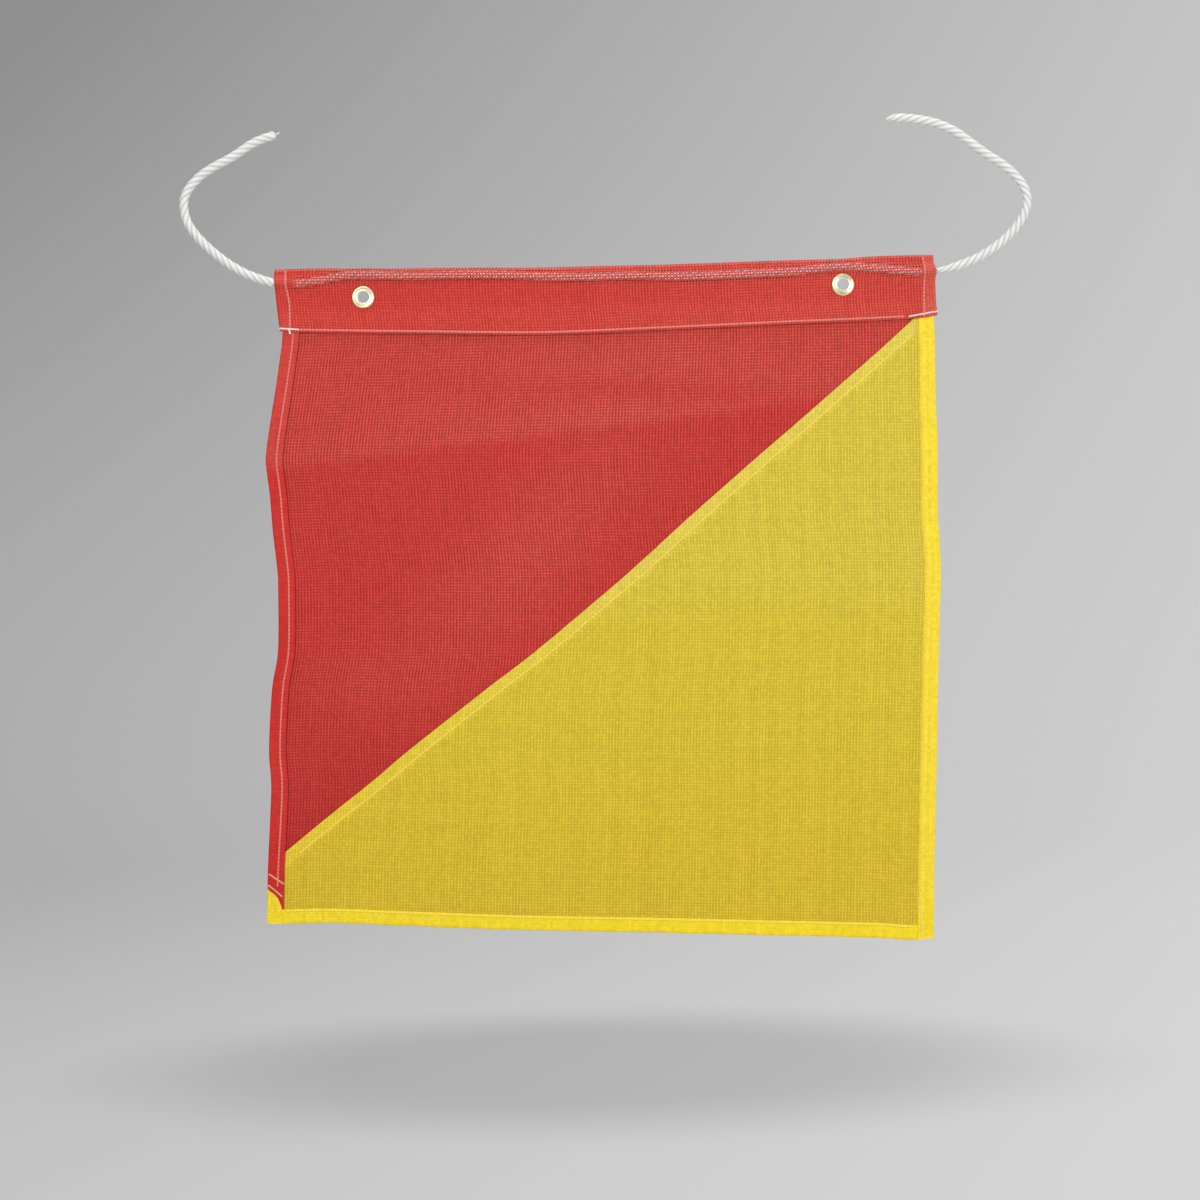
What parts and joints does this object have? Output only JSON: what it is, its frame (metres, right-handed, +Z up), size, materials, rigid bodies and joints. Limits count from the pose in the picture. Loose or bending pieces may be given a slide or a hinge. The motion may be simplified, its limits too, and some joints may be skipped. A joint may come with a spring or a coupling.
{
  "type": "signal flag",
  "caption": "Square mesh signal flag split on its diagonal into two colours, with a header sleeve holding a rope and a grommet near each end.",
  "frame": {"origin": "on the rope, at the middle of the header's sleeve", "axes": "+X along the sleeve, to the right seen from the front; +Y from the flag's front to its back; +Z up, from the panel to the header"},
  "size_m": [0.5891, 0.01, 0.5714],
  "materials": {
    "rope": "three strands, laid",
    "red_mesh": "coated open mesh, satin",
    "yellow_mesh": "coated open mesh, satin",
    "brass": "polished",
    "thread": "matt sewing thread"
  },
  "bodies": {
    "header": {"header_band": "red_mesh", "rope_sleeve_run": "rope", "red_seam_edge": "red_mesh", "yellow_seam_edge": "yellow_mesh", "grommet_left": "brass", "grommet_right": "brass", "washer_left": "brass", "washer_right": "brass", "header_seam_stitch": "thread", "header_end_stitch_left": "thread", "header_end_stitch_right": "thread", "header_corner_tack_left": "thread", "header_corner_tack_right": "thread"},
    "panel": {"red_panel": "red_mesh", "yellow_panel": "yellow_mesh", "left_hem_stitch": "thread", "right_hem_stitch": "thread", "bottom_hem_stitch": "thread", "diagonal_stitch": "thread", "corner_tack_upper": "thread", "corner_tack_lower": "thread", "right_corner_tack": "thread"},
    "tail_left": {"rope_tail_left": "rope"},
    "tail_right": {"rope_tail_right": "rope"}
  },
  "joints": [
    {"name": "panel_fold", "type": "hinge", "parent": "header", "child": "panel", "pos_m": [0, 0, -0.041], "axis": [1, 0, 0], "range_deg": [-110, 110]},
    {"name": "tail_left_turn", "type": "hinge", "parent": "header", "child": "tail_left", "pos_m": [-0.2292, 0, 0], "axis": [1, 0, 0], "range_deg": [-160, 160]},
    {"name": "tail_right_turn", "type": "hinge", "parent": "header", "child": "tail_right", "pos_m": [0.2292, 0, 0], "axis": [1, 0, 0], "range_deg": [-160, 160]}
  ]
}
